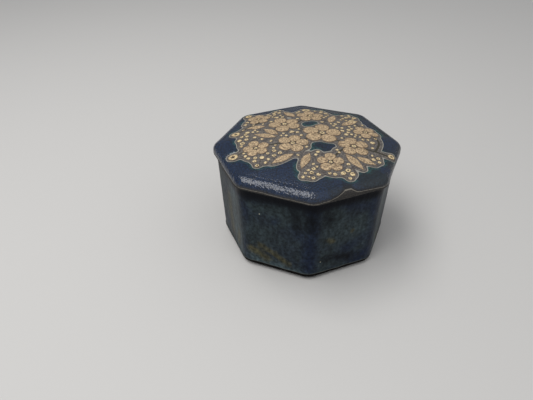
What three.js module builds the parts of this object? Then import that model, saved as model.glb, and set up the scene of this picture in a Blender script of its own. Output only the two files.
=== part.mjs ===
// An octagonal covered box in stoneware: a straight-sided body with eight soft corners, and a low
// domed lid that overhangs it a little and is kept in place by a flange that drops inside the rim.
// Millimetres, +Z up. The origin is the middle of the foot, on the surface that the box stands on.
// One corner of the octagon points along -Y, and the others follow every 45 degrees.
import * as THREE from "three";

// The body
const RIM_ACROSS_FLATS = 101; // outside, at the rim
const RIM_HEIGHT = 56.5; // the flat rim that the lid sits on, above the table
const WALL_DRAFT = 2.2; // how much further in each wall stands at the base than at the rim
const WALL_THICKNESS = 5;
const BODY_CORNER_RADIUS = 11; // the soft vertical edges
const FLOOR_THICKNESS = 6;
const FLOOR_FILLET = 7; // between the floor and the wall, inside
const RIM_ROUNDING = 0.8; // both edges of the rim
const BASE_EDGE_WIDTH = 1.2; // the rounded lower edge of the wall, measured inwards
const BASE_EDGE_HEIGHT = 2; // the same edge, measured upwards
const FOOT_HEIGHT = 2; // the wall's lower edge stands clear of the table by this
const FOOT_INSET = 3.6; // from the rounded lower edge in to the foot ring
const FOOT_WIDTH = 6;

// The lid
const LID_OVERHANG = 2; // past the body's rim, on every side
const LID_CORNER_RADIUS = 9.5;
const LID_EDGE_ROUNDING = 0.5; // the lower arris of the lid's edge
const LID_EDGE_HEIGHT = 1.9; // the upright part of the edge
const SHOULDER_WIDTH = 5.2; // where the edge turns over into the dome, measured inwards
const SHOULDER_HEIGHT = 4.2;
const DOME_RISE = 5;
const LID_THICKNESS = 4.8;
const FLANGE_CLEARANCE = 1.1; // between the flange and the inside of the wall
const FLANGE_THICKNESS = 3.4;
const FLANGE_DEPTH = 5;
const FLANGE_ROUNDING = 0.9; // the lower edges of the flange
const CEILING_FILLET = 1.6; // between the flange and the hollow under the dome
const DOME_ROUNDNESS = 0.95; // the corner radius at the dome's middle, as a share of the apothem

// The least corner radius of any ring, as a share of its apothem
const LEAST_CORNER = 0.12;

// How finely the curved stretches are cut
const CORNER_STEPS = 5;
const EDGE_STEPS = 5;
const SMALL_EDGE_STEPS = 3;
const DOME_STEPS = 9;

const SIDES = 8;
const HALF_SIDE_ANGLE = Math.PI / SIDES;

// The outline of an octagon with rounded corners, as points anticlockwise from a corner.
// apothem is the distance from the middle to a flat.
function octagon(apothem, cornerRadius) {
  const radius = Math.min(cornerRadius, apothem);
  const cornerDistance = (apothem - radius) / Math.cos(HALF_SIDE_ANGLE);
  const points = [];
  for (let corner = 0; corner < SIDES; corner++) {
    const heading = (corner - 2) * 2 * HALF_SIDE_ANGLE;
    const arc = new THREE.EllipseCurve(
      cornerDistance * Math.cos(heading),
      cornerDistance * Math.sin(heading),
      radius,
      radius,
      heading - HALF_SIDE_ANGLE,
      heading + HALF_SIDE_ANGLE,
    );
    points.push(...arc.getPoints(CORNER_STEPS));
  }
  return points;
}

// A closed solid through a row of octagonal rings, each { apothem, corner, z }. It starts and ends at
// a point on the axis, and runs from the underside's middle outwards, up and over to the other middle.
function loft(start, rings, end) {
  const around = SIDES * (CORNER_STEPS + 1);
  const positions = [0, 0, start];
  for (const ring of rings) {
    for (const point of octagon(ring.apothem, ring.corner)) {
      positions.push(point.x, point.y, ring.z);
    }
  }
  positions.push(0, 0, end);
  const last = positions.length / 3 - 1;
  const vertex = (ring, step) => 1 + ring * around + (step % around);
  const index = [];
  for (let step = 0; step < around; step++) {
    index.push(0, vertex(0, step + 1), vertex(0, step));
    for (let ring = 0; ring + 1 < rings.length; ring++) {
      const [a, b] = [vertex(ring, step), vertex(ring, step + 1)];
      const [c, d] = [vertex(ring + 1, step), vertex(ring + 1, step + 1)];
      index.push(a, b, d, a, d, c);
    }
    index.push(vertex(rings.length - 1, step), vertex(rings.length - 1, step + 1), last);
  }
  const geometry = new THREE.BufferGeometry();
  geometry.setAttribute("position", new THREE.Float32BufferAttribute(positions, 3));
  geometry.setIndex(index);
  geometry.computeVertexNormals();
  return geometry;
}

// Rings along a quarter ellipse around centre, an { apothem, z }. from and to are its ends in quarter
// turns: 0 points outwards, 1 up, 2 inwards and -1 down. Every ring is parallel to outer, so its
// corners tighten as it goes in.
function quarter(centre, width, height, from, to, steps, outer) {
  const rings = [];
  for (let step = 0; step <= steps; step++) {
    const turn = (from + ((to - from) * step) / steps) * (Math.PI / 2);
    rings.push(
      parallel(outer, centre.apothem + width * Math.cos(turn), centre.z + height * Math.sin(turn)),
    );
  }
  return rings;
}

// The ring at this apothem and height that is parallel to outer, an octagon { apothem, corner }.
function parallel(outer, apothem, z) {
  const corner = outer.corner - (outer.apothem - apothem);
  return { apothem, corner: Math.max(corner, LEAST_CORNER * apothem), z };
}

const rim = { apothem: RIM_ACROSS_FLATS / 2, corner: BODY_CORNER_RADIUS };
const base = { apothem: rim.apothem - WALL_DRAFT, corner: BODY_CORNER_RADIUS };

function bodyGeometry() {
  const footOuter = base.apothem - BASE_EDGE_WIDTH - FOOT_INSET;
  const footInner = footOuter - FOOT_WIDTH;
  const floorTop = FOOT_HEIGHT + FLOOR_THICKNESS;
  const innerRim = rim.apothem - WALL_THICKNESS;
  const innerBase = base.apothem - WALL_THICKNESS;
  const rings = [
    // the shallow recess under the floor, and the foot ring round it
    parallel(base, footInner, FOOT_HEIGHT),
    parallel(base, footInner, 0),
    parallel(base, footOuter, 0),
    parallel(base, footOuter, FOOT_HEIGHT),
    // the rounded lower edge of the wall
    ...quarter(
      { apothem: base.apothem - BASE_EDGE_WIDTH, z: FOOT_HEIGHT + BASE_EDGE_HEIGHT },
      BASE_EDGE_WIDTH, BASE_EDGE_HEIGHT, -1, 0, EDGE_STEPS, base,
    ),
    // the rim, rounded on both edges
    ...quarter(
      { apothem: rim.apothem - RIM_ROUNDING, z: RIM_HEIGHT - RIM_ROUNDING },
      RIM_ROUNDING, RIM_ROUNDING, 0, 1, SMALL_EDGE_STEPS, rim,
    ),
    ...quarter(
      { apothem: innerRim + RIM_ROUNDING, z: RIM_HEIGHT - RIM_ROUNDING },
      RIM_ROUNDING, RIM_ROUNDING, 1, 2, SMALL_EDGE_STEPS, rim,
    ),
    // the fillet between the wall and the floor inside
    ...quarter(
      { apothem: innerBase - FLOOR_FILLET, z: floorTop + FLOOR_FILLET },
      FLOOR_FILLET, FLOOR_FILLET, 0, -1, EDGE_STEPS, base,
    ),
  ];
  return loft(FOOT_HEIGHT, rings, floorTop);
}

function lidGeometry() {
  const lid = { apothem: rim.apothem + LID_OVERHANG, corner: LID_CORNER_RADIUS };
  const seat = RIM_HEIGHT;
  const shoulderTop = seat + LID_EDGE_HEIGHT + SHOULDER_HEIGHT;
  const domeEdge = parallel(lid, lid.apothem - SHOULDER_WIDTH, shoulderTop);
  const flangeOuter = rim.apothem - WALL_THICKNESS - FLANGE_CLEARANCE;
  const flangeInner = flangeOuter - FLANGE_THICKNESS;
  const flangeEnd = seat - FLANGE_DEPTH;
  const domeHeight = (apothem) => shoulderTop + DOME_RISE * (1 - (apothem / domeEdge.apothem) ** 2);
  const ceiling = (apothem) => domeHeight(apothem) - LID_THICKNESS;

  // A ring of the dome: octagonal at its edge and almost round near its middle.
  const domeRing = (share, span, height) => {
    const apothem = span * share;
    const octagonal = domeEdge.corner / domeEdge.apothem;
    const roundness = octagonal + (DOME_ROUNDNESS - octagonal) * (1 - share);
    return { apothem, corner: apothem * roundness, z: height(apothem) };
  };
  const shares = Array.from({ length: DOME_STEPS - 1 }, (_, step) => (step + 1) / DOME_STEPS);
  const hollow = flangeInner - CEILING_FILLET;

  const rings = [
    // the hollow under the dome
    ...shares.map((share) => domeRing(share, hollow, ceiling)),
    ...quarter(
      { apothem: hollow, z: ceiling(hollow) - CEILING_FILLET },
      CEILING_FILLET, CEILING_FILLET, 1, 0, SMALL_EDGE_STEPS, lid,
    ),
    // the flange, rounded on both lower edges
    ...quarter(
      { apothem: flangeInner + FLANGE_ROUNDING, z: flangeEnd + FLANGE_ROUNDING },
      FLANGE_ROUNDING, FLANGE_ROUNDING, -2, -1, SMALL_EDGE_STEPS, lid,
    ),
    ...quarter(
      { apothem: flangeOuter - FLANGE_ROUNDING, z: flangeEnd + FLANGE_ROUNDING },
      FLANGE_ROUNDING, FLANGE_ROUNDING, -1, 0, SMALL_EDGE_STEPS, lid,
    ),
    // the flat seat, out to the overhanging edge
    parallel(lid, flangeOuter, seat),
    ...quarter(
      { apothem: lid.apothem - LID_EDGE_ROUNDING, z: seat + LID_EDGE_ROUNDING },
      LID_EDGE_ROUNDING, LID_EDGE_ROUNDING, -1, 0, SMALL_EDGE_STEPS, lid,
    ),
    // the shoulder, and the dome inside it
    ...quarter(
      { apothem: domeEdge.apothem, z: seat + LID_EDGE_HEIGHT },
      SHOULDER_WIDTH, SHOULDER_HEIGHT, 0, 1, EDGE_STEPS, lid,
    ),
    ...shares.toReversed().map((share) => domeRing(share, domeEdge.apothem, domeHeight)),
  ];
  return loft(ceiling(0), rings, domeHeight(0));
}

const glaze = (colour) => new THREE.MeshStandardMaterial({ color: colour, roughness: 0.35, metalness: 0 });

function piece(name, geometry, material) {
  const mesh = new THREE.Mesh(geometry, material);
  mesh.name = name;
  return mesh;
}

const box = new THREE.Group();
box.add(piece("box_body", bodyGeometry(), glaze(0x2a3438)));
box.add(piece("lid", lidGeometry(), glaze(0x38445a)));

export default box;
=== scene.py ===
import random
from collections import namedtuple
from math import cos, hypot, pi, radians, sin

import bmesh
import bpy
import numpy as np
from mathutils import Euler, Matrix, Quaternion, Vector, noise


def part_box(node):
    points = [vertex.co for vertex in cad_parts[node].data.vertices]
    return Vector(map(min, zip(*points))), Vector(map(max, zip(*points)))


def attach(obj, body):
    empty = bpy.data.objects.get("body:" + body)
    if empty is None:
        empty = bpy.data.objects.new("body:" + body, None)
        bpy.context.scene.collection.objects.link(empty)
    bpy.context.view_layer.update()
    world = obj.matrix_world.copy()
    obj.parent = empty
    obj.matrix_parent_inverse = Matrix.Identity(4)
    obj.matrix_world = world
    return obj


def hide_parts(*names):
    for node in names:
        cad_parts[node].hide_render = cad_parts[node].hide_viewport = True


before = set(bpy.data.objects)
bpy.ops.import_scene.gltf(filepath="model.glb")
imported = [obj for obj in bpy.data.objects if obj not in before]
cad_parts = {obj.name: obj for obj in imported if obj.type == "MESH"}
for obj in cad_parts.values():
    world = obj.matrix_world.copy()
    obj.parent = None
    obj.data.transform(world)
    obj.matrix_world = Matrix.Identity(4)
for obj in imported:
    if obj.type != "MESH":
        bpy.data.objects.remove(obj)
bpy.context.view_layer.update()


# The camera: a phone held in the hand, about 0.3 m from the box and looking down at it.
LENS_MM = 31.1
SENSOR_MM = 36.0
CAMERA_PLACE = Vector((-0.0243, -0.2418, 0.1940))
CAMERA_PITCH = radians(35.65)
CAMERA_ROLL = radians(-0.54)
BOX_TURN = radians(-0.54)  # how far the box is turned on the table, as the camera sees it

looking_down = Euler((pi / 2 - CAMERA_PITCH, 0, 0)).to_matrix()
looking_down = looking_down @ Matrix.Rotation(CAMERA_ROLL, 3, "Z")
camera = bpy.data.objects.new("camera", bpy.data.cameras.new("camera"))
camera.data.lens = LENS_MM
camera.data.sensor_width = SENSOR_MM
camera.matrix_world = (Matrix.Rotation(-BOX_TURN, 4, "Z") @ Matrix.Translation(CAMERA_PLACE)
                       @ looking_down.to_4x4())
bpy.context.collection.objects.link(camera)
bpy.context.scene.camera = camera
bpy.context.scene.view_settings.view_transform = "Standard"


# The table: one wide matt sheet in pale grey, which takes the box's shadow.
TABLE_HALF = 3.0
TABLE_GREY = "#c2c0bd"
TABLE_ROUGHNESS = 0.7


def linear(code):
    """The linear colour, with alpha, of an sRGB hex code."""
    parts = [int(code[start:start + 2], 16) / 255 for start in (1, 3, 5)]
    return [part / 12.92 if part <= 0.04045 else ((part + 0.055) / 1.055) ** 2.4
            for part in parts] + [1.0]


def add(tree, kind, inputs=None, output=None, **settings):
    """Adds a node with its settings, and returns its first live output, or the one named output.

    inputs gives live inputs by name or place: a number, an sRGB hex code, or the output to link.
    """
    node = tree.nodes.new(kind)
    for name, value in settings.items():
        setattr(node, name, value)
    live = [socket for socket in node.inputs if socket.enabled]
    by_name = {socket.name: socket for socket in reversed(live)}
    for name, value in (inputs or {}).items():
        socket = live[name] if isinstance(name, int) else by_name[name]
        if isinstance(value, bpy.types.NodeSocket):
            tree.links.new(value, socket)
        else:
            socket.default_value = linear(value) if isinstance(value, str) else value
    outputs = [each for each in node.outputs if each.enabled and output in (None, each.name)]
    return outputs[0] if outputs else None


def empty_material(name):
    """A new material with no nodes in its tree."""
    material = bpy.data.materials.new(name)
    material.use_nodes = True
    material.node_tree.nodes.clear()
    return material


def link(bm, name, material):
    """Turns a bmesh into a smooth-shaded object of that name and material, and frees the bmesh."""
    mesh = bpy.data.meshes.new(name)
    bm.to_mesh(mesh)
    bm.free()
    mesh.materials.append(material)
    mesh.polygons.foreach_set("use_smooth", [True] * len(mesh.polygons))
    thing = bpy.data.objects.new(name, mesh)
    bpy.context.collection.objects.link(thing)
    return thing


# Matt table paint: flat and even, so it shows only the light and the shadow.
table_paint = empty_material("matt_table_paint")
tree = table_paint.node_tree
paint = add(tree, "ShaderNodeBsdfPrincipled",
            {"Base Color": TABLE_GREY, "Roughness": TABLE_ROUGHNESS})
add(tree, "ShaderNodeOutputMaterial", {"Surface": paint})
sheet = bmesh.new()
bmesh.ops.create_grid(sheet, x_segments=1, y_segments=1, size=TABLE_HALF)
link(sheet, "table_top", table_paint)


# The light: a pale room, brightest above and in front of the box, and a long lamp above it and left.
# The lamp runs from front to back, a little turned, and shines along the front left shoulder.
ROOM_WHITE = "#f1f3f6"
ROOM_BRIGHTEST = Vector((0.30, -0.50, 0.81))  # the way to its brightest part
ROOM_LOW = 0.26  # its strength behind and beside the box
ROOM_HIGH = 0.88  # and at its brightest
ROOM_SEEN = 0.56  # and where the camera looks past the table, so that it is as pale all round
LAMP_PLACE = Vector((-0.30, -0.12, 0.78))
LAMP_TURN = radians(-30)
LAMP_WIDTH = 0.36
LAMP_LENGTH = 1.00
LAMP_WATTS = 5.4

world = bpy.data.worlds.new("pale_room")
bpy.context.scene.world = world
world.use_nodes = True
tree = world.node_tree
tree.nodes.clear()
way = add(tree, "ShaderNodeTexCoord", output="Generated")
facing = add(tree, "ShaderNodeVectorMath", {0: way, 1: ROOM_BRIGHTEST}, operation="DOT_PRODUCT")
strength = add(tree, "ShaderNodeMapRange",
               {"Value": facing, "To Min": ROOM_LOW, "To Max": ROOM_HIGH})
seen = add(tree, "ShaderNodeLightPath", output="Is Camera Ray")
strength = add(tree, "ShaderNodeMix", {"Factor": seen, "A": strength, "B": ROOM_SEEN})
room = add(tree, "ShaderNodeBackground", {"Color": ROOM_WHITE, "Strength": strength})
add(tree, "ShaderNodeOutputWorld", {"Surface": room})
lamp = bpy.data.objects.new("soft_lamp", bpy.data.lights.new("soft_lamp", "AREA"))
lamp.data.shape = "RECTANGLE"
lamp.data.size = LAMP_WIDTH
lamp.data.size_y = LAMP_LENGTH
lamp.data.energy = LAMP_WATTS
lamp.location = LAMP_PLACE
shining = LAMP_PLACE.to_track_quat("Z", "X") @ Quaternion((0, 0, 1), LAMP_TURN)
lamp.rotation_euler = shining.to_euler()
bpy.context.collection.objects.link(lamp)


# The body: the lower part of the box, in grey-brown stoneware pressed into a mould. Its walls lean
# in a little towards the foot. It is glazed inside and out, and wiped bare on the rim and the foot.
MM = 0.001  # sizes below are in millimetres until a mesh is placed
HALF_SIDE = pi / 8  # half the angle that one side of the octagon takes
RIM_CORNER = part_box("box_body")[1] / MM
RIM_HEIGHT = RIM_CORNER.z
BODY_CORNER = 11.0
LEAST_CORNER = 0.12  # the least corner radius of any ring, as a share of its distance to a flat
WALL_DRAFT = 2.2
WALL = 5.0
RIM_ROUNDING = 0.8
BASE_EDGE_WIDTH = 1.2
BASE_EDGE_HEIGHT = 2.0
FOOT_HEIGHT = 2.0
FOOT_INSET = 3.6
FOOT_WIDTH = 6.0
FOOT_ROUNDING = 0.5
FLOOR_TOP = 8.0
FLOOR_FILLET = 7.0
BODY_AROUND = 400  # vertices in a ring
POLE = 3.0  # the small flat in the middle of a floor, where the rings end
PAST_ARC = 1.0  # from the end of an arc to the first point of a long stretch after it
HAND_WOBBLE = ((34.0, 0.25), (9.0, 0.06))  # how wide and high the pressed clay's unevenness is
CLAY_SEED = 3
noise.seed_set(CLAY_SEED)  # so that it is the same each time
GLAZE_THICKNESS = 0.28
GLAZE_ROLL = 0.7  # how far in from its edge the glaze reaches its full thickness
GLAZE_START = 2.9  # along the wall, from its lower edge up to where the glaze begins
GLAZE_WAVER = ((3, 0.6, 0.2), (11, 0, 0.15), (29, 2, 0.1))  # waves round the box, start, height
RIM_OVERLAP = 0.4  # how far the glaze runs onto the rim from both sides
BURNT_AND_SHADED = 8.5  # how far below the glaze the clay is painted black: clay fired dark, and painted shade in the foot's recess
BURNT_AND_SHADED_FADE = 0.4  # and how gradually that ends
STILL_RIM = 0.01  # no thinning of the glaze this near the height of the seat


def octagon_reach(heading, flat, corner):
    """How far an octagon with rounded corners reaches in each heading.

    One corner is at heading 0. flat is the distance to a side, and corner its corners' radius.
    """
    from_middle = np.abs(np.mod(heading, 2 * HALF_SIDE) - HALF_SIDE)
    arc_middle = (flat - corner) / cos(HALF_SIDE)
    from_corner = HALF_SIDE - from_middle
    on_arc = arc_middle * np.cos(from_corner) + np.sqrt(
        np.maximum(corner ** 2 - (arc_middle * np.sin(from_corner)) ** 2, 0))
    on_side = np.tan(from_middle) * flat < (flat - corner) * np.tan(HALF_SIDE)
    return np.where(on_side, flat / np.cos(from_middle), on_arc)


def line(start, end, steps):
    """Points (out, up) along a straight stretch of a profile, without its last one."""
    out_step, up_step = end[0] - start[0], end[1] - start[1]
    return [(start[0] + out_step * step / steps, start[1] + up_step * step / steps)
            for step in range(steps)]


def arc(middle, width, height, start, end, steps):
    """Points (out, up) on a quarter ellipse.

    start and end are in quarter turns: 0 points outwards, 1 up, 2 or -2 inwards and -1 down.
    """
    turns = [(start + (end - start) * step / steps) * pi / 2 for step in range(steps + 1)]
    return [(middle[0] + width * cos(turn), middle[1] + height * sin(turn)) for turn in turns]


def ease(share):
    """A smooth step from 0 to 1."""
    share = np.clip(share, 0, 1)
    return share * share * (3 - 2 * share)


def waves_round(turn, waves):
    """The sum of waves round the box, each given as its count, its start and its height."""
    return sum(high * np.sin(count * turn + start) for count, start, high in waves)


def hand_made(place):
    """A point in millimetres, moved as far as a hand-pressed wall strays from a true one."""
    return sum((high * noise.noise_vector(place / wide) for wide, high in HAND_WOBBLE), place)


def grow_rings(bm, edges, count):
    """Extrudes a closed row of edges count times, each ring 1 lower than the last."""
    for _ in range(count):
        grown = bmesh.ops.extrude_edge_only(bm, edges=edges)["geom"]
        fresh = {item for item in grown if isinstance(item, bmesh.types.BMVert)}
        bmesh.ops.translate(bm, verts=list(fresh), vec=(0, 0, -1))
        edges = [item for item in grown if isinstance(item, bmesh.types.BMEdge)
                 and item.verts[0] in fresh and item.verts[1] in fresh]


def give(thing, name, values):
    """Stores one number for each vertex, as an attribute that the material reads."""
    layer = thing.data.attributes.new(name, "FLOAT", "POINT")
    layer.data.foreach_set("value", np.asarray(values, dtype=np.float32))


rim_flat = (RIM_CORNER.x - BODY_CORNER) * cos(HALF_SIDE) + BODY_CORNER
base_flat = rim_flat - WALL_DRAFT
edge_flat = base_flat - BASE_EDGE_WIDTH
foot_out = edge_flat - FOOT_INSET
foot_in = foot_out - FOOT_WIDTH
foot_arc = (FOOT_ROUNDING, FOOT_ROUNDING)
rim_arc = (RIM_ROUNDING, RIM_ROUNDING)
wall_low = FOOT_HEIGHT + BASE_EDGE_HEIGHT
wall_high = RIM_HEIGHT - RIM_ROUNDING
fillet_out = base_flat - WALL - FLOOR_FILLET
fillet_up = FLOOR_TOP + FLOOR_FILLET
profile = [
    *line((POLE, FOOT_HEIGHT), (foot_in, FOOT_HEIGHT), steps=8),
    *line((foot_in, FOOT_HEIGHT), (foot_in, FOOT_ROUNDING), steps=2),
    *arc((foot_in + FOOT_ROUNDING, FOOT_ROUNDING), *foot_arc, -2, -1, steps=3),
    *arc((foot_out - FOOT_ROUNDING, FOOT_ROUNDING), *foot_arc, -1, 0, steps=3),
    (foot_out, FOOT_HEIGHT - FOOT_ROUNDING),
    *line((foot_out, FOOT_HEIGHT), (edge_flat, FOOT_HEIGHT), steps=2),
]
wall_start = len(profile)
profile += arc((edge_flat, wall_low), BASE_EDGE_WIDTH, BASE_EDGE_HEIGHT, -1, 0, steps=14)[:-1]
profile += line((base_flat, wall_low), (rim_flat, wall_high), steps=52)
rim_start = len(profile)
profile += arc((rim_flat - RIM_ROUNDING, wall_high), *rim_arc, 0, 1, steps=5)
profile += arc((rim_flat - WALL + RIM_ROUNDING, wall_high), *rim_arc, 1, 2, steps=5)
inside_start = len(profile)
profile += line((rim_flat - WALL, wall_high - PAST_ARC), (base_flat - WALL, fillet_up), steps=26)
profile += arc((fillet_out, fillet_up), FLOOR_FILLET, FLOOR_FILLET, 0, -1, steps=12)[:-1]
profile += line((fillet_out, FLOOR_TOP), (POLE, FLOOR_TOP), steps=14)
profile.append((POLE, FLOOR_TOP))

bm = bmesh.new()
bmesh.ops.create_circle(bm, segments=BODY_AROUND, radius=1)
grow_rings(bm, bm.edges[:], len(profile) - 1)
bmesh.ops.holes_fill(bm, edges=bm.edges[:], sides=0)

out, up = (np.array(column) for column in zip(*profile))
along = np.concatenate([[0], np.cumsum(np.hypot(np.diff(out), np.diff(up)))])
blank = np.array([vert.co for vert in bm.verts])
ring = np.rint(-blank[:, 2]).astype(int)
heading = np.arctan2(blank[:, 1], blank[:, 0])
wall_here = rim_flat - WALL_DRAFT * (1 - up[ring] / RIM_HEIGHT)
corner = np.maximum(BODY_CORNER - (wall_here - out[ring]), LEAST_CORNER * out[ring])
reach = octagon_reach(heading, out[ring], corner)
for vert, far, turn, high in zip(bm.verts, reach, heading, up[ring]):
    shaped = hand_made(Vector((far * cos(turn), far * sin(turn), high)))
    vert.co = Vector((shaped.x, shaped.y, high))
bmesh.ops.recalc_face_normals(bm, faces=bm.faces[:])

# How far each point lies inside the glaze, along the wall. It is less than 0 on bare clay.
up_the_wall = along[ring] - along[wall_start] - GLAZE_START - waves_round(heading, GLAZE_WAVER)
outside_glaze = np.minimum(up_the_wall, along[rim_start] - along[ring] + RIM_OVERLAP)
in_glaze = np.maximum(outside_glaze, along[ring] - along[inside_start] + RIM_OVERLAP)

# Where the glaze pooled or ran in another tone, and where light and shade are painted: from, to and
# half width, in millimetres. The black runs are painted shade under the lid's edge and down the
# front corner, and the last one darkens a band low on the front right. The steel runs on the left
# and right sides are painted reflection; the others are steel-grey glaze.
RUNS = {
    "steel": [((-36, -37, 7), (-15, -46, 5), 3.2), ((-15, -46, 4), (0, -51, 4), 1.6),
              ((14, -45, 33), (28, -40, 27), 5.5), ((-45, -27, 48), (-42, -29, 8), 6.0),
              ((44, -24, 50), (42, -26, 8), 6.0)],
    "navy": [((-18, -46, 41), (-20, -46, 39), 2.0), ((-8, -50, 38), (-5, -51, 34), 3.5),
             ((-36, -37, 46), (-36, -38, 30), 3.0), ((22, -44, 19), (30, -40, 24), 3.5),
             ((30, -41, 7), (37, -36, 12), 5.0), ((0, -52, 52), (0, -52, 8), 3.8),
             ((34, -38, 50), (35, -37, 20), 3.0), ((-49, -21, 54), (-37, -38, 53), 4.0),
             ((18, -44, 50), (32, -38, 46), 3.0)],
    "green": [((-16, -47, 46), (-7, -51, 42), 6.0), ((14, -48, 33), (26, -43, 30), 7.0),
              ((9, -50, 29), (15, -48, 27), 4.0), ((-34, -39, 28), (-26, -42, 25), 6.0)],
    "olive": [((-33, -39, 14), (-24, -43, 9), 2.2), ((-28, -42, 18), (-20, -45, 14), 1.6),
              ((-20, -45, 14), (-12, -48, 9), 1.5), ((-48, -20, 38), (-47, -19, 10), 3.0),
              ((10, -49, 28), (13, -48, 26), 1.1), ((24, -44, 31), (24, -44, 30), 0.9)],
    "black": [((-36, -37, 52), (4, -50, 52), 3.2), ((-9, -48, 50), (-6, -49, 39), 3.6),
              ((0, -51, 54), (0, -51, 40), 4.0), ((6, -49, 50), (9, -48, 42), 3.4),
              ((9, -48, 14), (24, -42, 11), 2.4)],
}
RUN_FADE = 1.5  # half widths from a run's middle to where it has faded to a third
CORNER_NAVY = 0.62  # how navy the glaze is on the corners, where it is thickest
CORNER_SHARE = 0.3  # and how far round from a corner that reaches, as a share of half a side
BACK_SEED = 4
BACK_SIDES = 6  # the sides that the camera doesn't face, which are given runs by chance
BACK_REACH = 50.0  # from the box's middle to these runs
RUNS_A_SIDE = 3
BACK_TONES = [("navy", 4.0, (8, 50)), ("green", 6.0, (8, 50)),
              ("olive", 1.6, (6, 20))]  # and half width, and the heights where a run starts

chance = random.Random(BACK_SEED)
for side in range(BACK_SIDES):
    for tone, half_width, heights in BACK_TONES:
        for _ in range(RUNS_A_SIDE):
            turn = HALF_SIDE * (2 * side - 1) + chance.uniform(-0.3, 0.3)
            ended = turn + chance.uniform(-0.12, 0.12)
            high = chance.uniform(*heights)
            fallen = high - chance.uniform(2, 10)
            start = (BACK_REACH * cos(turn), BACK_REACH * sin(turn), high)
            end = (BACK_REACH * cos(ended), BACK_REACH * sin(ended), fallen)
            RUNS[tone].append((start, end, half_width * chance.uniform(0.6, 1.2)))


def run_strength(places, runs):
    """How strongly each place shows a tone: 1 in the middle of a run, fading to 0 outside."""
    strength = np.zeros(len(places))
    for start, end, width in runs:
        start, end = np.array(start), np.array(end)
        span = max((end - start) @ (end - start), 1e-6)
        share = np.clip((places - start) @ (end - start) / span, 0, 1)
        gap = np.linalg.norm(places - start - share[:, None] * (end - start), axis=1)
        strength = np.maximum(strength, np.exp(-(gap / (RUN_FADE * width)) ** 2))
    return strength


places = np.array([vert.co for vert in bm.verts])
tones = {name: run_strength(places, runs) for name, runs in RUNS.items()}
from_corner = 1 - np.abs(np.mod(heading, 2 * HALF_SIDE) - HALF_SIDE) / HALF_SIDE
corner_navy = CORNER_NAVY * (1 - ease(from_corner / CORNER_SHARE))
tones["navy"] = np.maximum(tones["navy"], corner_navy)
bm.normal_update()
for vert, depth in zip(bm.verts, GLAZE_THICKNESS * (1 - ease(in_glaze / GLAZE_ROLL))):
    if FOOT_ROUNDING < vert.co.z < RIM_HEIGHT - STILL_RIM:
        vert.co -= vert.normal * depth
bmesh.ops.scale(bm, verts=bm.verts[:], vec=(MM, MM, MM))

# Stoneware: a dense grey-brown clay with fine dark and pale grit, matt where it is bare.
CLAY_DARK = "#191817"
CLAY_PALE = "#34302c"
# the clay fired dark under the glaze and on the foot, with the shade of the foot's recess painted in
CLAY_BURNT_AND_SHADED = "#0d0b0a"
CLAY_ROUGHNESS = 0.85
GRIT_MM = 0.7  # coarser than real grit, so that it shows
# Iron and cobalt glaze: a dark satin glass, teal on the sides and navy where it is thick, which
# breaks to a paler line at its edges. Its pebbled skin scatters the light.
# Painted into its colour are the shade under the lid and in the foot's recess, and a pale reflection
# on the left and right sides.
GLAZE_TEAL = "#242c33"
GLAZE_GREEN = "#293235"
GLAZE_NAVY = "#151e32"
GLAZE_OLIVE = "#464330"
# steel grey: the glaze's own tone low on the front, and painted reflection on the left and right
# sides, which catch the room's light at a glancing view
STEEL_GLAZE_AND_SHEEN = "#3f4b4f"
PAINTED_SHADE_BLACK = "#04070f"  # painted shade: black under the lid's rim, and along the lid's lower glaze edge
FOOT_EDGE = "#5c615d"  # the glaze's edge above the foot
GLAZE_SPECK = "#b9b6a2"
GLAZE_IOR = 1.18  # low, because the walls shine much less than the lid
GLAZE_ROUGHNESS = 0.42
CLOUD_MM = 14.0
FLECK_MM = 1.8  # the flecks and pebbles too are as coarse as they need to show
PEBBLE_MM = 1.1
PEBBLE_HIGH_MM = 0.22
RUN_MM = 2.6
RUN_RAGGED = 1.1  # how much the ragged pattern adds to a tone's strength
STREAK_MM = 2.4  # the width of the streaks that the glaze ran down in
STREAK_HIGH_MM = 0.5
STREAK_SQUASH = 0.3  # their width, as a share of their length
SHADE_LOW = 47.5  # the heights between which painted shade turns the wall black under the lid's overhang
SHADE_HIGH = 53.0
SPECKS = [((-27.9, -42.4, 41.4), 0.42), ((6.6, -50.2, 12.6), 0.6)]  # bubbles that burst and healed

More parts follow.
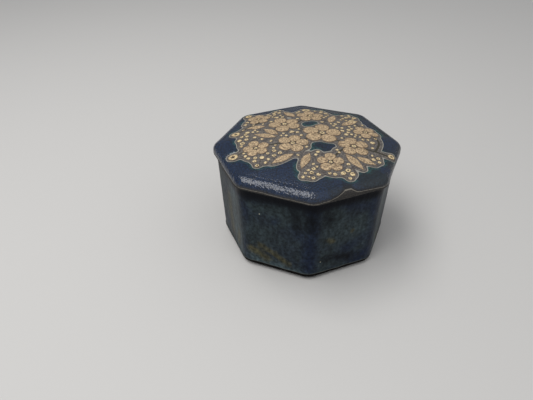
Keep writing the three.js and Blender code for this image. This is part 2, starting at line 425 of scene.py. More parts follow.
body_glaze = empty_material("blue_black_stoneware_glaze")
tree = body_glaze.node_tree
SMOOTH = {"interpolation_type": "SMOOTHSTEP"}
COLOURS = {"data_type": "RGBA"}
MULTIPLIED = {"operation": "MULTIPLY"}
place = add(tree, "ShaderNodeTexCoord", output="Object")
glazed = add(tree, "ShaderNodeAttribute", output="Fac", attribute_name="in_glaze")
clouds = add(tree, "ShaderNodeTexNoise",
             {"Vector": place, "Scale": 1 / (CLOUD_MM * MM), "Detail": 3.0})
clouds = add(tree, "ShaderNodeMapRange",
             {"Value": clouds, "From Min": 0.42, "From Max": 0.60}, **SMOOTH)
colour = add(tree, "ShaderNodeMix", {"Factor": clouds, "A": GLAZE_TEAL, "B": GLAZE_GREEN},
             **COLOURS)
ragged = add(tree, "ShaderNodeTexNoise",
             {"Vector": place, "Scale": 1 / (RUN_MM * MM), "Detail": 4.0})
for tone, code in (("steel", STEEL_GLAZE_AND_SHEEN), ("navy", GLAZE_NAVY), ("green", GLAZE_GREEN),
                   ("olive", GLAZE_OLIVE), ("black", PAINTED_SHADE_BLACK)):
    amount = add(tree, "ShaderNodeAttribute", output="Fac", attribute_name=tone)
    amount = add(tree, "ShaderNodeMath", {0: ragged, 1: RUN_RAGGED, 2: amount},
                 operation="MULTIPLY_ADD")
    amount = add(tree, "ShaderNodeMapRange", {"Value": amount, "From Min": 0.7, "From Max": 1.7})
    colour = add(tree, "ShaderNodeMix", {"Factor": amount, "A": colour, "B": code}, **COLOURS)
flecks = add(tree, "ShaderNodeTexNoise",
             {"Vector": place, "Scale": 1 / (FLECK_MM * MM), "Detail": 4.0})
flecks = add(tree, "ShaderNodeMapRange",
             {"Value": flecks, "From Min": 0.3, "From Max": 0.7, "To Min": 0.5, "To Max": 1.5})
fallen = add(tree, "ShaderNodeMapping", {"Vector": place, "Scale": (1, 1, STREAK_SQUASH)})
run_bump = add(tree, "ShaderNodeTexNoise",
               {"Vector": fallen, "Scale": 1 / (STREAK_MM * MM), "Detail": 3.0})
streaks = add(tree, "ShaderNodeMapRange", {"Value": run_bump, "From Min": 0.35, "From Max": 0.65,
                                           "To Min": 0.78, "To Max": 1.25})
flecks = add(tree, "ShaderNodeMath", {0: flecks, 1: streaks}, **MULTIPLIED)
colour = add(tree, "ShaderNodeVectorMath", {0: colour, "Scale": flecks}, operation="SCALE")
for middle, radius in SPECKS:
    gap = add(tree, "ShaderNodeVectorMath", {0: place, 1: Vector(middle) * MM},
              operation="DISTANCE")
    inside = add(tree, "ShaderNodeMapRange",
                 {"Value": gap, "From Min": radius * MM, "From Max": radius * MM / 2}, **SMOOTH)
    colour = add(tree, "ShaderNodeMix", {"Factor": inside, "A": colour, "B": GLAZE_SPECK},
                 **COLOURS)
height = add(tree, "ShaderNodeSeparateXYZ", {0: place}, output="Z")
# Painted shade: the wall is painted black towards the rim, where the lid's overhang shades it.
under_lid_shade = add(tree, "ShaderNodeMapRange",
               {"Value": height, "From Min": SHADE_LOW * MM, "From Max": SHADE_HIGH * MM},
               **SMOOTH)
colour = add(tree, "ShaderNodeMix", {"Factor": under_lid_shade, "A": colour, "B": PAINTED_SHADE_BLACK},
             **COLOURS)
full = add(tree, "ShaderNodeMapRange",
           {"Value": glazed, "From Min": 0.05, "From Max": 0.35}, **SMOOTH)
colour = add(tree, "ShaderNodeMix", {"Factor": full, "A": FOOT_EDGE, "B": colour}, **COLOURS)
grit = add(tree, "ShaderNodeTexNoise",
           {"Vector": place, "Scale": 1 / (GRIT_MM * MM), "Detail": 4.0})
grit = add(tree, "ShaderNodeMapRange", {"Value": grit, "From Min": 0.38, "From Max": 0.68})
clay = add(tree, "ShaderNodeMix", {"Factor": grit, "A": CLAY_DARK, "B": CLAY_PALE}, **COLOURS)
# Fired-dark clay and painted shade: the foot and the bare clay just above it are painted black.
burnt_and_shaded = add(tree, "ShaderNodeAttribute", output="Fac", attribute_name="burnt_and_shaded")
clay = add(tree, "ShaderNodeMix", {"Factor": burnt_and_shaded, "A": clay, "B": CLAY_BURNT_AND_SHADED}, **COLOURS)
covered = add(tree, "ShaderNodeMapRange",
              {"Value": glazed, "From Min": -0.05, "From Max": 0.05}, **SMOOTH)
colour = add(tree, "ShaderNodeMix", {"Factor": covered, "A": clay, "B": colour}, **COLOURS)
rough = add(tree, "ShaderNodeMapRange",
            {"Value": covered, "To Min": CLAY_ROUGHNESS, "To Max": GLAZE_ROUGHNESS})
pebbles = add(tree, "ShaderNodeTexNoise",
              {"Vector": place, "Scale": 1 / (PEBBLE_MM * MM), "Detail": 2.0})
bump = add(tree, "ShaderNodeBump",
           {"Strength": 0.6, "Distance": PEBBLE_HIGH_MM * MM, "Height": pebbles})
bump = add(tree, "ShaderNodeBump", {"Strength": 0.6, "Distance": STREAK_HIGH_MM * MM,
                                    "Height": run_bump, "Normal": bump})
shader = add(tree, "ShaderNodeBsdfPrincipled",
             {"Base Color": colour, "Roughness": rough, "IOR": GLAZE_IOR, "Normal": bump})
add(tree, "ShaderNodeOutputMaterial", {"Surface": shader})

body = link(bm, "glazed_body", body_glaze)
give(body, "in_glaze", in_glaze)
give(body, "burnt_and_shaded", (up[ring] < FLOOR_TOP) * ease((outside_glaze + BURNT_AND_SHADED) / BURNT_AND_SHADED_FADE))
for tone, strength in tones.items():
    give(body, tone, strength)
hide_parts("box_body")
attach(body, "body")


# The lid: a low dome pressed from the same clay, with a soft shoulder, an edge that overhangs the
# body and a flange under it that drops inside the rim. Its top is glazed around a bare reserve.
LID_LOW, LID_HIGH = (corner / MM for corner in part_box("lid"))
LID_CORNER = 9.5
EDGE_ROUNDING = 0.5
EDGE_HEIGHT = 1.9
SHOULDER_WIDTH = 5.2
SHOULDER_HEIGHT = 4.2
DOME_ROUNDNESS = 0.95  # the corner radius at the dome's middle, as a share of the distance out
LID_THICKNESS = 4.8
SEAT_START = 2.0  # in from the lid's edge to the first ring of its flat underside
FLANGE_CLEARANCE = 1.1
FLANGE = 3.4
FLANGE_ROUNDING = 0.9
CEILING_FILLET = 1.6
CEILING_STEPS = 4  # of that fillet
TOP_CELLS = 288  # along each side of the grid that covers the top
THINNING = 4  # under the lid, one vertex in four is kept
LID_CLAY = Vector((0, 0, 90))  # an offset, so that the lid strays in other places than the body
SEAT_STILL = 0.6  # nothing moves up or down this near the seat
SEAT_BLEND = 4.0  # and above that it moves more and more, over this height

lid_flat = (LID_HIGH.x - LID_CORNER) * cos(HALF_SIDE) + LID_CORNER
dome_flat = lid_flat - SHOULDER_WIDTH
shoulder_low = RIM_HEIGHT + EDGE_HEIGHT
dome_low = shoulder_low + SHOULDER_HEIGHT
dome_rise = LID_HIGH.z - dome_low


def dome_height(flat):
    """The height of the lid's top, this far from its middle towards a side."""
    return dome_low + dome_rise * (1 - (flat / dome_flat) ** 2)


def lid_corner(flat):
    """The corner radius of the ring at flat, parallel to the lid's edge."""
    return np.maximum(LID_CORNER - (lid_flat - flat), LEAST_CORNER * flat)


def dome_corner(flat, span):
    """The corner radius of a level line of the dome, which is almost a circle at its middle."""
    octagonal = lid_corner(span) / span
    return flat * (octagonal + (DOME_ROUNDNESS - octagonal) * (1 - flat / span))


# The top's profile, from the middle out and down: its distance to a side, height and corners.
dome = np.linspace(0, dome_flat, 120)[:-1]
shoulder = np.array(arc((dome_flat, shoulder_low), SHOULDER_WIDTH, SHOULDER_HEIGHT, 1, 0, steps=30))
top_flat = np.concatenate([dome, shoulder[:, 0], [lid_flat]])
top_up = np.concatenate([dome_height(dome), shoulder[:, 1], [RIM_HEIGHT + EDGE_ROUNDING]])
top_corner = np.concatenate([dome_corner(dome, dome_flat), lid_corner(top_flat[len(dome):])])
top_along = np.concatenate([[0], np.cumsum(np.hypot(np.diff(top_flat), np.diff(top_up)))])

# The underside's, from the edge in: the seat, the flange and the hollow.
flange_out = rim_flat - WALL - FLANGE_CLEARANCE
flange_in = flange_out - FLANGE
flange_low = LID_LOW.z + FLANGE_ROUNDING
flange_arc = (FLANGE_ROUNDING, FLANGE_ROUNDING)
edge_arc = (EDGE_ROUNDING, EDGE_ROUNDING)
ceiling_arc = (CEILING_FILLET, CEILING_FILLET)
hollow = flange_in - CEILING_FILLET
ceiling_edge = dome_height(hollow) - LID_THICKNESS
fillet_low = ceiling_edge - CEILING_FILLET
under_profile = [
    *arc((lid_flat - EDGE_ROUNDING, RIM_HEIGHT + EDGE_ROUNDING), *edge_arc, 0, -1, steps=4)[1:],
    *line((lid_flat - SEAT_START, RIM_HEIGHT), (flange_out, RIM_HEIGHT), steps=3),
    *line((flange_out, RIM_HEIGHT), (flange_out, flange_low), steps=4),
    *arc((flange_out - FLANGE_ROUNDING, flange_low), *flange_arc, 0, -1, steps=4),
    *arc((flange_in + FLANGE_ROUNDING, flange_low), *flange_arc, -1, -2, steps=4),
    *line((flange_in, flange_low + PAST_ARC), (flange_in, fillet_low), steps=3),
    *arc((hollow, fillet_low), *ceiling_arc, 0, 1, steps=CEILING_STEPS),
]
ceiling = np.linspace(hollow, POLE, 14)[1:]
under_flat, under_up = np.array(under_profile).T
under_corner = np.concatenate([lid_corner(under_flat), dome_corner(ceiling, hollow)])
under_flat = np.concatenate([under_flat, ceiling])
under_up = np.concatenate([under_up, dome_height(ceiling) - LID_THICKNESS])
hollow_start = len(under_profile) - CEILING_STEPS


def square_heading(across, deep):
    """Headings of points on squares' rims, spread evenly, as when a square cloth covers a bowl."""
    sideways = np.abs(across) >= np.abs(deep)
    with np.errstate(divide="ignore", invalid="ignore"):
        side = np.where(across > 0, 0, pi) + pi / 4 * deep / across
        end = np.where(deep > 0, pi / 2, -pi / 2) - pi / 4 * across / deep
    return np.nan_to_num(np.where(sideways, side, end))


def lid_top(turn, share):
    """Where the lid's top lies in each heading, share of the way from its middle to its lower edge.

    Gives the reach, the height, and the reach once the lid's surface is unrolled flat.
    """
    length = share * top_along[-1]
    flat = np.interp(length, top_along, top_flat)
    far = octagon_reach(turn, flat, np.interp(length, top_along, top_corner))
    return far, np.interp(length, top_along, top_up), far + length - flat


def settle(place):
    """A point of the lid, moved as the hand-made clay strays, but not up or down at the seat."""
    moved = hand_made(place + LID_CLAY) - LID_CLAY
    above_seat = max(0.0, min(1.0, (place.z - RIM_HEIGHT - SEAT_STILL) / SEAT_BLEND))
    return Vector((moved.x, moved.y, place.z + (moved.z - place.z) * above_seat))


# A level grid becomes the top. The rings that grow down from its rim, 1 apart, become the rest.
top = bmesh.new()
bmesh.ops.create_grid(top, x_segments=TOP_CELLS, y_segments=TOP_CELLS, size=1)
grow_rings(top, [edge for edge in top.edges if edge.is_boundary], 1)
steps_round = 4 * TOP_CELLS
by_step = {}
for vert in top.verts:
    if vert.co.z < -0.5:
        turn = float(square_heading(np.array(vert.co.x), np.array(vert.co.y)))
        by_step[round(turn / (2 * pi) * steps_round) % steps_round] = vert
kept = {step: by_step[round(step / THINNING) * THINNING % steps_round] for step in by_step}
bmesh.ops.weld_verts(top, targetmap={vert: kept[step] for step, vert in by_step.items()
                                     if kept[step] != vert})
grow_rings(top, [edge for edge in top.edges if edge.is_boundary], len(under_flat) - 1)
bmesh.ops.holes_fill(top, edges=top.edges[:], sides=0)

blank = np.array([vert.co for vert in top.verts])
turns = square_heading(blank[:, 0], blank[:, 1])
shares = np.maximum(np.abs(blank[:, 0]), np.abs(blank[:, 1]))
under = blank[:, 2] < -0.5
step = np.maximum(np.rint(-blank[:, 2]).astype(int) - 1, 0)
reach, height, unrolled = lid_top(turns, shares)
reach = np.where(under, octagon_reach(turns, under_flat[step], under_corner[step]), reach)
height = np.where(under, under_up[step], height)
for vert, far, turn, high in zip(top.verts, reach, turns, height):
    vert.co = settle(Vector((far * cos(turn), far * sin(turn), high)))
bmesh.ops.recalc_face_normals(top, faces=top.faces[:])

# The design: plum blossoms and bamboo leaves along a branch, with sprays of berries, a traditional
# set. It is drawn flat, in millimetres from the lid's middle, and the unrolled lid is laid on it.
Mark = namedtuple("Mark", "x y long wide turn lean kind")
BRANCHES = [
    [(46, -17), (38, -14), (24, -10), (9, 1), (-10, 13), (-24, 24), (-36, 33)],
    [(24, -10), (16, -19), (10, -30)],
    [(9, 1), (-6, -7), (-20, -9), (-32, -12), (-42, -17)],
    [(-10, 13), (-2, 22), (3, 31), (2, 41)],
    [(38, -14), (42, -3), (37, 10), (31, 21)],
    [(-24, 24), (-34, 18), (-42, 9)],
]
BRANCH_WIDTH = 0.75
BRANCH_TAPER = 0.6
BLOSSOMS = [(9, 3, 11.6, 12), (-13, 16, 10.0, 40), (26, -11, 9.4, 25), (-9, -9, 9.2, 4),
            (4, 29, 8.8, 20), (36, 8, 7.8, 50), (-29, 28, 7.4, 15), (-30, -12, 7.6, 33),
            (11, -28, 7.8, 20)]  # and radius, turn
PETALS = 5
PETAL_OUT = 0.62  # from a blossom's middle to a petal's, as a share of its radius
PETAL_LONG = 0.42  # half a petal's length and width, likewise
PETAL_WIDE = 0.40
PETAL_LEAN = 0.14  # how much wider it is at its outer end
HEART = 0.15  # the drop in a blossom's middle, likewise
LEAVES = [(20, -20, 16, -58), (26, -22, 12, -30), (0, -20, 15, -112), (-9, -20, 15, -146),
          (-18, -1, 15, 158), (-17, 2, 13, 134), (15, 18, 15, 72), (22, 15, 16, 40),
          (-6, 28, 13, 122), (-25, 15, 12, 180)]  # and length, turn
LEAF_WIDTH = 2.5
LEAF_LEAN = -0.25
BUDS = [(2, 41, 2.8), (-43, -18, 2.8), (30, 23, 2.6), (-43, 8, 2.8), (-36, 35, 2.2),
        (47, -17, 2.2)]  # and radius
DROPS = [(38, -5, 1.6), (-9, 4.5, 1.7), (-5.6, 3.6, 1.2), (-35.8, 8.4, 1.6), (20.6, 19.6, 1.3),
         (-17.8, 28.2, 1.6), (-14, 28.6, 1.2)]  # and radius
BUD_WIDE = 0.94  # as a share of its length
DROP_WIDE = 0.9
DOT_WIDE = 0.92
DROP_TURN = 0.3
SPRAYS = [(18, -36, 3, -50), (3, -35, 3, -110), (-28, -22, 3, -100), (-37, -3, 2, 160),
          (-37, 23, 2, 165), (-17, 34, 3, 100), (13, 37, 3, 70), (29, 28, 3, 55),
          (37, -22, 3, -60), (22, 3, 3, 60), (-18, -18, 2, -120)]  # and rows, turn
BERRY = 1.5
BERRY_SPACING = 3.9
BERRY_ROW = 0.9  # from row to row, as a share of the spacing in a row
BERRY_STRAY = 0.4
BERRY_GAP = 0.35  # the least, to any other mark
PITTED_SHARE = 0.35
FILL_SPACING = 3.1
FILL_ROW = 0.87
FILL_STRAY = 0.35
FILL_GAP = 0.4
FILL_NEAR = 4.8  # a dot is drawn only where three larger marks are nearer than this
FILL_COLUMNS = 16  # to each side of the middle
FILL_ROWS = 18
DESIGN_REACH = 46.0  # nothing small lies further out than this
FIRING_SEED = 7


def outside(mark, x, y):
    """About how far points lie outside a mark's oval outline."""
    ahead = (x - mark.x) * cos(mark.turn) + (y - mark.y) * sin(mark.turn) + 1e-6
    aside = (y - mark.y) * cos(mark.turn) - (x - mark.x) * sin(mark.turn)
    near = np.hypot(ahead / mark.long, aside / mark.wide)
    return near * (near - 1) / np.hypot(ahead / mark.long ** 2, aside / mark.wide ** 2)


chance = random.Random(FIRING_SEED)
marks = []
for x, y, radius, degrees in BLOSSOMS:
    for petal in range(PETALS):
        turn = radians(degrees + 360 / PETALS * petal + chance.uniform(-4, 4))
        size = radius * chance.uniform(0.94, 1.04)
        marks.append(Mark(x + PETAL_OUT * size * cos(turn), y + PETAL_OUT * size * sin(turn),
                          PETAL_LONG * size, PETAL_WIDE * size, turn, PETAL_LEAN, "petal"))
    marks.append(Mark(x, y, HEART * radius, HEART * radius, 0.0, 0.0, "pitted"))
for x, y, length, degrees in LEAVES:
    turn = radians(degrees)
    marks.append(Mark(x + length / 2 * cos(turn), y + length / 2 * sin(turn), length / 2,
                      LEAF_WIDTH, turn, LEAF_LEAN, "leaf"))
for x, y, radius in BUDS:
    marks.append(Mark(x, y, radius, radius * BUD_WIDE, DROP_TURN, 0.0, "pitted"))
for x, y, radius in DROPS:
    marks.append(Mark(x, y, radius, radius * DROP_WIDE, DROP_TURN, 0.0, "dot"))
for x, y, rows, degrees in SPRAYS:
    turn = radians(degrees)
    for row in range(rows):
        in_row = 2 if row < rows - 1 else 1
        for number in range(in_row):
            ahead = row * BERRY_SPACING * BERRY_ROW + chance.uniform(-BERRY_STRAY, BERRY_STRAY)
            aside = (number - (in_row - 1) / 2) * BERRY_SPACING
            aside += chance.uniform(-BERRY_STRAY, BERRY_STRAY)
            size = BERRY * chance.uniform(0.8, 1.1)
            berry = Mark(x + ahead * cos(turn) - aside * sin(turn),
                         y + ahead * sin(turn) + aside * cos(turn),
                         size, size * chance.uniform(0.85, 1.0), chance.uniform(0, pi), 0.0,
                         "pitted" if chance.random() < PITTED_SHARE else "dot")
            gap = min(outside(mark, berry.x, berry.y) for mark in marks) - size
            if gap > BERRY_GAP and hypot(berry.x, berry.y) < DESIGN_REACH:
                marks.append(berry)

# Small dots fill the ground that the larger marks leave between them.
columns, rows = np.meshgrid(np.arange(-FILL_COLUMNS, FILL_COLUMNS + 1),
                            np.arange(-FILL_ROWS, FILL_ROWS + 1))
fill_x = ((columns + 0.5 * (rows % 2)) * FILL_SPACING).ravel()
fill_x += [chance.uniform(-FILL_STRAY, FILL_STRAY) for _ in fill_x]
fill_y = (rows * FILL_SPACING * FILL_ROW).ravel()
fill_y += [chance.uniform(-FILL_STRAY, FILL_STRAY) for _ in fill_y]
gaps = np.sort([outside(mark, fill_x, fill_y) for mark in marks], axis=0)
for x, y, nearest, third in zip(fill_x, fill_y, gaps[0], gaps[2]):
    size = chance.uniform(0.85, 1.2)
    if nearest > size + FILL_GAP and third < FILL_NEAR and hypot(x, y) < DESIGN_REACH:
        marks.append(Mark(x, y, size, size * DOT_WIDE, chance.uniform(0, pi), 0.0, "dot"))


def curved(route, steps=8):
    """A smooth cubic curve through all of a route's points."""
    points = [Vector(point) for point in (route[0], *route, route[-1])]
    curve = []
    for before, start, end, after in zip(points, points[1:], points[2:], points[3:]):
        for number in range(steps):
            t = number / steps
            curve.append(0.5 * (2 * start + (end - before) * t
                                + (2 * before - 5 * start + 4 * end - after) * t ** 2
                                + (3 * start - before - 3 * end + after) * t ** 3))
    return [*curve, points[-1]]


def outside_branches(x, y):
    """How far points lie outside the branches, which taper towards their tips."""
    nearest = np.full(np.shape(x), DESIGN_REACH)
    for route in map(curved, BRANCHES):
        for number, (start, end) in enumerate(zip(route, route[1:])):
            step = end - start
            share = ((x - start.x) * step.x + (y - start.y) * step.y) / step.length_squared
            share = np.clip(share, 0, 1)
            gap = np.hypot(x - start.x - share * step.x, y - start.y - share * step.y)
            width = BRANCH_WIDTH * (1 - BRANCH_TAPER * number / len(route))
            nearest = np.minimum(nearest, gap - width)
    return nearest


# How far each point of the lid lies outside the bare reserve, which keeps a margin round the marks.
RESERVE_MARGIN = 1.25
RESERVE_BLEND = 1.1
RESERVE_ROLL = 0.9  # how far out from the reserve the glaze reaches its full thickness
BRANCH_MARGIN = 0.6  # more, for a branch
MARK_REACH = 10.0  # further than this from a mark's end, it no longer shapes the reserve
WELL_GLAZED = 20.0  # a distance outside the reserve that stands for all of the underside
drawn_x = unrolled * np.cos(turns)
drawn_y = unrolled * np.sin(turns)
from_branch = outside_branches(drawn_x, drawn_y)
closeness = np.exp(-(from_branch - BRANCH_MARGIN) / RESERVE_BLEND)
for mark in marks:
    near = np.hypot(drawn_x - mark.x, drawn_y - mark.y) < mark.long + MARK_REACH
    closeness[near] += np.exp(-outside(mark, drawn_x[near], drawn_y[near]) / RESERVE_BLEND)
reserve = -RESERVE_BLEND * np.log(np.maximum(closeness, 1e-9)) - RESERVE_MARGIN
reserve[under] = WELL_GLAZED

# The glaze stops short of the lid's lower edge, and missed a patch on the front right side.
BARE_EDGE = 0.8
MISSED = [(0.0, BARE_EDGE), (0.20, 0.9), (0.30, 2.0), (0.41, 4.4), (0.50, 4.3), (0.57, 2.5),
          (0.63, 1.7), (0.80, 1.6), (1.0, 1.2)]  # share of that side, and the bare height there
EDGE_RIPPLE = ((5, 1, 0.18), (17, 0, 0.12), (41, 0, 0.06))  # waves round the lid, start, height
HOLLOW_GLAZED = 3.0  # under the lid, the hollow is well inside the glaze
SEAT_BARE = -1.0  # and the flange and the seat are bare
along_side = (turns + pi / 2) / (2 * HALF_SIDE)
bare_height = np.interp(along_side, *zip(*MISSED), left=BARE_EDGE, right=BARE_EDGE)
in_lid_glaze = height - RIM_HEIGHT - bare_height - waves_round(turns, EDGE_RIPPLE)
in_lid_glaze[under] = np.where(step[under] >= hollow_start, HOLLOW_GLAZED, SEAT_BARE)

thinned = np.maximum(1 - ease(reserve / RESERVE_ROLL), 1 - ease(in_lid_glaze / GLAZE_ROLL))
top.normal_update()
for vert, low, hidden in zip(top.verts, GLAZE_THICKNESS * thinned, under):
    if not hidden:
        vert.co -= vert.normal * low
bmesh.ops.scale(top, verts=top.verts[:], vec=(MM, MM, MM))

# The same glaze, thicker and bluer on the lid: navy, with teal where it pooled beside the reserve.
# It draws back from the reserve with a thin pale line. The bare ground is granular and matt.
LID_NAVY = "#101f35"
# towards the lid's right: a greener glaze tone, painted darker there as shade on the side away from
# the lamp
LID_GREEN_AND_SHADE = "#0e1a22"
LID_TEAL = "#1c4140"
GLAZE_EDGE = "#7a7469"  # at the lid's lower edge
GROUND_DARK = "#3b3838"
GROUND_PALE = "#6d665e"
PALE_LINE = "#8d897f"
PALE_LINE_MM = 0.18  # half its width
TWIG_BROWN = "#2b2719"
HALO_BROWN = "#352a26"  # the ground beside the reserve's edge
GROUND_MM = 0.9  # the ground's grains, the flecks and the pebbles are as coarse as they need to show
GROUND_ROUGHNESS = 0.8
LID_FLECK_MM = 1.0
LID_PEBBLE_MM = 1.1
LID_PEBBLE_HIGH_MM = 0.25
LID_IOR = 1.55
LID_ROUGHNESS = 0.22

lid_glaze = empty_material("navy_stoneware_glaze")
tree = lid_glaze.node_tree
place = add(tree, "ShaderNodeTexCoord", output="Object")
glazed = add(tree, "ShaderNodeAttribute", output="Fac", attribute_name="in_glaze")
outline = add(tree, "ShaderNodeAttribute", output="Fac", attribute_name="reserve")
twigs = add(tree, "ShaderNodeAttribute", output="Fac", attribute_name="branch")
across = add(tree, "ShaderNodeSeparateXYZ", {0: place}, output="X")
# The right half is painted darker and greener: partly the glaze's own tone, partly painted shade.
rightwards = add(tree, "ShaderNodeMapRange",
                 {"Value": across, "From Min": -0.015, "From Max": 0.03}, **SMOOTH)
clouds = add(tree, "ShaderNodeTexNoise",
             {"Vector": place, "Scale": 1 / (CLOUD_MM * MM), "Detail": 3.0})
clouds = add(tree, "ShaderNodeMapRange",
             {"Value": clouds, "From Min": 0.30, "From Max": 0.55, "To Max": rightwards},
             **SMOOTH)
glaze = add(tree, "ShaderNodeMix", {"Factor": clouds, "A": LID_NAVY, "B": LID_GREEN_AND_SHADE}, **COLOURS)
patches = add(tree, "ShaderNodeTexNoise",
              {"Vector": place, "Scale": 1 / (CLOUD_MM / 2 * MM), "Detail": 2.0})
patches = add(tree, "ShaderNodeMapRange",
              {"Value": patches, "From Min": 0.40, "From Max": 0.62, "To Max": 0.8}, **SMOOTH)
pooled = add(tree, "ShaderNodeMapRange",
             {"Value": outline, "From Min": 2.6, "From Max": 0.2, "To Max": patches}, **SMOOTH)
glaze = add(tree, "ShaderNodeMix", {"Factor": pooled, "A": glaze, "B": LID_TEAL}, **COLOURS)
# Painted shade: the lid's glaze is painted black just above its lower edge.
lid_edge_shade = add(tree, "ShaderNodeMapRange",
             {"Value": glazed, "From Min": 2.2, "From Max": 0.8}, **SMOOTH)
glaze = add(tree, "ShaderNodeMix", {"Factor": lid_edge_shade, "A": glaze, "B": PAINTED_SHADE_BLACK}, **COLOURS)
flecks = add(tree, "ShaderNodeTexNoise",
             {"Vector": place, "Scale": 1 / (LID_FLECK_MM * MM), "Detail": 4.0})
flecks = add(tree, "ShaderNodeMapRange",
             {"Value": flecks, "From Min": 0.3, "From Max": 0.7, "To Min": 0.25, "To Max": 1.75})
glaze = add(tree, "ShaderNodeVectorMath", {0: glaze, "Scale": flecks}, operation="SCALE")
grains = add(tree, "ShaderNodeTexNoise",
             {"Vector": place, "Scale": 1 / (GROUND_MM * MM), "Detail": 5.0})
grains = add(tree, "ShaderNodeMapRange",
             {"Value": grains, "From Min": 0.36, "From Max": 0.66}, **SMOOTH)
ground = add(tree, "ShaderNodeMix", {"Factor": grains, "A": GROUND_DARK, "B": GROUND_PALE},
             **COLOURS)
twig = add(tree, "ShaderNodeMapRange",
           {"Value": twigs, "From Min": 0.12, "From Max": -0.12}, **SMOOTH)
ground = add(tree, "ShaderNodeMix", {"Factor": twig, "A": ground, "B": TWIG_BROWN}, **COLOURS)
halo = add(tree, "ShaderNodeMapRange",
           {"Value": outline, "From Min": -1.1, "From Max": -0.3, "To Max": patches}, **SMOOTH)
ground = add(tree, "ShaderNodeMix", {"Factor": halo, "A": ground, "B": HALO_BROWN}, **COLOURS)
outer = add(tree, "ShaderNodeMapRange",
            {"Value": outline, "From Min": -0.08, "From Max": 0.08}, **SMOOTH)
colour = add(tree, "ShaderNodeMix", {"Factor": outer, "A": ground, "B": glaze}, **COLOURS)
from_line = add(tree, "ShaderNodeMath", {0: outline}, operation="ABSOLUTE")
on_line = add(tree, "ShaderNodeMapRange", {"Value": from_line, "From Min": 1.6 * PALE_LINE_MM,
                                           "From Max": 0.5 * PALE_LINE_MM}, **SMOOTH)
colour = add(tree, "ShaderNodeMix", {"Factor": on_line, "A": colour, "B": PALE_LINE}, **COLOURS)
full = add(tree, "ShaderNodeMapRange",
           {"Value": glazed, "From Min": 0.25, "From Max": 0.55}, **SMOOTH)
colour = add(tree, "ShaderNodeMix", {"Factor": full, "A": GLAZE_EDGE, "B": colour}, **COLOURS)
grit = add(tree, "ShaderNodeTexNoise",
           {"Vector": place, "Scale": 1 / (GRIT_MM * MM), "Detail": 4.0})
grit = add(tree, "ShaderNodeMapRange", {"Value": grit, "From Min": 0.38, "From Max": 0.68})
clay = add(tree, "ShaderNodeMix", {"Factor": grit, "A": CLAY_DARK, "B": CLAY_PALE}, **COLOURS)
covered = add(tree, "ShaderNodeMapRange",
              {"Value": glazed, "From Min": -0.05, "From Max": 0.05}, **SMOOTH)
colour = add(tree, "ShaderNodeMix", {"Factor": covered, "A": clay, "B": colour}, **COLOURS)
glassy = add(tree, "ShaderNodeMath", {0: outer, 1: covered}, **MULTIPLIED)
rough = add(tree, "ShaderNodeMapRange",
            {"Value": glassy, "To Min": GROUND_ROUGHNESS, "To Max": LID_ROUGHNESS})
pebbles = add(tree, "ShaderNodeTexVoronoi",
              {"Vector": place, "Scale": 1 / (LID_PEBBLE_MM * MM), "Smoothness": 0.4},
              feature="SMOOTH_F1")
height = add(tree, "ShaderNodeSeparateXYZ", {0: place}, output="Z")
pebbled = add(tree, "ShaderNodeMapRange", {"Value": height, "From Min": (dome_low + 1) * MM,
                                           "From Max": (dome_low - 1) * MM, "To Min": 0.3},
              **SMOOTH)
bump = add(tree, "ShaderNodeBump",
           {"Strength": pebbled, "Distance": LID_PEBBLE_HIGH_MM * MM, "Height": pebbles},
           invert=True)
shader = add(tree, "ShaderNodeBsdfPrincipled",
             {"Base Color": colour, "Roughness": rough, "IOR": LID_IOR, "Normal": bump})
add(tree, "ShaderNodeOutputMaterial", {"Surface": shader})

lid = link(top, "glazed_lid", lid_glaze)
give(lid, "reserve", reserve)
give(lid, "branch", from_branch)
give(lid, "in_glaze", in_lid_glaze)
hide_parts("lid")
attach(lid, "lid")


# The marks: drops and strokes of thick buff slip, trailed on the bare ground and fired matt. A
# pitted one has a crater where a bubble burst.
MARK_HEIGHT = {"petal": 0.42, "leaf": 0.34, "dot": 0.36, "pitted": 0.38}
MARK_SIDES = {"petal": 28, "leaf": 28, "dot": 12, "pitted": 16}
MARK_EDGE = 0.34  # the width of a mark's soft edge, as a share of its radius
CROWN_INSET = 0.3  # from that edge in to the flat top, likewise
CROWN_RISE = 0.06  # as a share of the mark's height
PIT = 0.42  # the crater's radius, as a share of the mark's
PIT_SLOPE = 0.3  # the width of the crater's side, as a share of its radius
PIT_DEPTH = 0.5  # as a share of the mark's height
PIT_DARK = 0.9  # how much of the crater's radius is dark
LEAF_TAPER = 0.75  # how much narrower a leaf is at both tips
LEAF_POWER = 2.2
SINK = 0.08  # how far a mark's lower face lies under the ground
OUTLINE_SHAKE = 0.22
SHAKE_SPACING = 2.4
HALVINGS = 16  # of the way out, to find a mark's place on the lid
SLOPE_STEP = 0.01


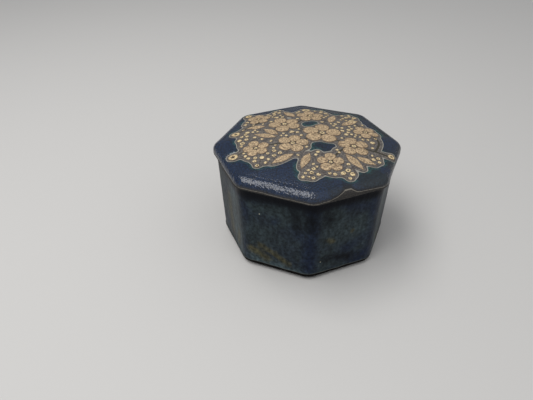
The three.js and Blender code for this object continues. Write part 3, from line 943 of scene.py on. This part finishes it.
def drop_of_slip(kind):
    """A pad of radius 1 and height 1 with a soft upper edge, and a crater if it is pitted."""
    pad = bmesh.new()
    bmesh.ops.create_cone(pad, cap_ends=True, segments=MARK_SIDES[kind], radius1=1, radius2=1,
                          depth=1)
    bmesh.ops.translate(pad, verts=pad.verts[:], vec=(0, 0, 0.5))
    upper = [edge for edge in pad.edges if all(vert.co.z > 0.9 for vert in edge.verts)]
    bmesh.ops.bevel(pad, geom=upper, offset=MARK_EDGE, segments=2, profile=0.5,
                    affect="EDGES", material=-1)
    crown = [max(pad.faces, key=lambda face: face.calc_center_median().z)]
    if kind == "pitted":
        bmesh.ops.inset_individual(pad, faces=crown, thickness=1 - MARK_EDGE - PIT, depth=0.0)
        bmesh.ops.inset_individual(pad, faces=crown, thickness=PIT_SLOPE * PIT, depth=-PIT_DEPTH)
    else:
        bmesh.ops.inset_individual(pad, faces=crown, thickness=CROWN_INSET, depth=CROWN_RISE)
    shape = np.array([vert.co for vert in pad.verts])
    mesh = bpy.data.meshes.new("drop_" + kind)
    pad.to_mesh(mesh)
    pad.free()
    return mesh, shape


drops = {kind: drop_of_slip(kind) for kind in MARK_HEIGHT}
slip = bmesh.new()
flat_places = []
pits = []
inwards = []
painted_highlights = []
for mark in marks:
    mesh, shape = drops[mark.kind]
    slip.from_mesh(mesh)
    ahead, aside, thick = shape.T
    radius = np.hypot(ahead, aside)
    pits.append((mark.kind == "pitted") * (radius < PIT * PIT_DARK))
    inwards.append(1 - radius)
    painted_highlights.append(np.full(len(shape), mark.kind in ("dot", "pitted")))
    if mark.kind == "leaf":
        aside = aside * (1 - LEAF_TAPER * np.abs(ahead) ** LEAF_POWER)
    aside = aside * mark.wide * (1 + mark.lean * ahead)
    ahead = ahead * mark.long
    flat_places.append(np.stack([mark.x + ahead * cos(mark.turn) - aside * sin(mark.turn),
                                 mark.y + ahead * sin(mark.turn) + aside * cos(mark.turn),
                                 MARK_HEIGHT[mark.kind] * thick - SINK], axis=1))
for mesh, _ in drops.values():
    bpy.data.meshes.remove(mesh)
flat_places = np.concatenate(flat_places)
shake = np.array([noise.noise_vector(Vector((x, y, 0)) / SHAKE_SPACING)
                  for x, y, _ in flat_places])
x, y = (flat_places[:, :2] + OUTLINE_SHAKE * shake[:, :2]).T
lift = flat_places[:, 2] - GLAZE_THICKNESS

# Each place is found on the lid by halving the way out until the unrolled surface reaches it.
turn = np.arctan2(y, x)
short, long = np.zeros_like(x), np.ones_like(x)
for _ in range(HALVINGS):
    share = (short + long) / 2
    nearer = lid_top(turn, share)[2] < np.hypot(x, y)
    short, long = np.where(nearer, share, short), np.where(nearer, long, share)
far, high, _ = lid_top(turn, short)
further, lower, _ = lid_top(turn, short + SLOPE_STEP)
slope = np.hypot(further - far, lower - high)
far, high = far - (lower - high) / slope * lift, high + (further - far) / slope * lift
for vert, out_here, heading_here, up_here in zip(slip.verts, far, turn, high):
    on_lid = Vector((out_here * cos(heading_here), out_here * sin(heading_here), up_here))
    vert.co = settle(on_lid) * MM
bmesh.ops.recalc_face_normals(slip, faces=slip.faces[:])

# Slip: liquid clay, buff when fired. It is matt and granular, mottled with rust, and browner at
# its edge.
SLIP_BUFF = "#9c886b"
SLIP_CREAM = "#c8ad88"
SLIP_HIGHLIGHT = "#dcc798"
SLIP_RUST = "#6c5843"
SLIP_PIT = "#2b241d"
SLIP_ROUGHNESS = 0.62
DOT_HIGHLIGHT = 0.75  # painted highlight: how much paler the small drops are painted, as their raised tops catch the light
MOTTLE_MM = 1.1  # the mottle and the veins too are as coarse as they need to show
VEIN_MM = 0.8
VEIN_HIGH_MM = 0.2

buff_slip = empty_material("buff_trailed_slip")
tree = buff_slip.node_tree
place = add(tree, "ShaderNodeTexCoord", output="Object")
pit = add(tree, "ShaderNodeAttribute", output="Fac", attribute_name="pit")
inward = add(tree, "ShaderNodeAttribute", output="Fac", attribute_name="inward")
mottle = add(tree, "ShaderNodeTexNoise",
             {"Vector": place, "Scale": 1 / (MOTTLE_MM * MM), "Detail": 4.0})
mottle = add(tree, "ShaderNodeMapRange",
             {"Value": mottle, "From Min": 0.40, "From Max": 0.64}, **SMOOTH)
colour = add(tree, "ShaderNodeMix", {"Factor": mottle, "A": SLIP_BUFF, "B": SLIP_CREAM},
             **COLOURS)
# Painted highlight: the small drops are painted paler.
painted_highlight = add(tree, "ShaderNodeAttribute", output="Fac", attribute_name="painted_highlight")
painted_highlight = add(tree, "ShaderNodeMath", {0: painted_highlight, 1: DOT_HIGHLIGHT}, **MULTIPLIED)
colour = add(tree, "ShaderNodeMix", {"Factor": painted_highlight, "A": colour, "B": SLIP_HIGHLIGHT}, **COLOURS)
vein_bump = add(tree, "ShaderNodeTexNoise",
                {"Vector": place, "Scale": 1 / (VEIN_MM * MM), "Detail": 5.0})
veins = add(tree, "ShaderNodeMapRange",
            {"Value": vein_bump, "From Min": 0.53, "From Max": 0.38, "To Max": 1.0}, **SMOOTH)
colour = add(tree, "ShaderNodeMix", {"Factor": veins, "A": colour, "B": SLIP_RUST}, **COLOURS)
inner = add(tree, "ShaderNodeMapRange",
            {"Value": inward, "From Min": 0.0, "From Max": 0.16}, **SMOOTH)
colour = add(tree, "ShaderNodeMix", {"Factor": inner, "A": SLIP_RUST, "B": colour}, **COLOURS)
colour = add(tree, "ShaderNodeMix", {"Factor": pit, "A": colour, "B": SLIP_PIT}, **COLOURS)
bump = add(tree, "ShaderNodeBump",
           {"Strength": 0.6, "Distance": VEIN_HIGH_MM * MM, "Height": vein_bump})
shader = add(tree, "ShaderNodeBsdfPrincipled",
             {"Base Color": colour, "Roughness": SLIP_ROUGHNESS, "Normal": bump})
add(tree, "ShaderNodeOutputMaterial", {"Surface": shader})

slip_marks = link(slip, "slip_marks", buff_slip)
give(slip_marks, "pit", np.concatenate(pits))
give(slip_marks, "inward", np.concatenate(inwards))
give(slip_marks, "painted_highlight", np.concatenate(painted_highlights))
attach(slip_marks, "lid")
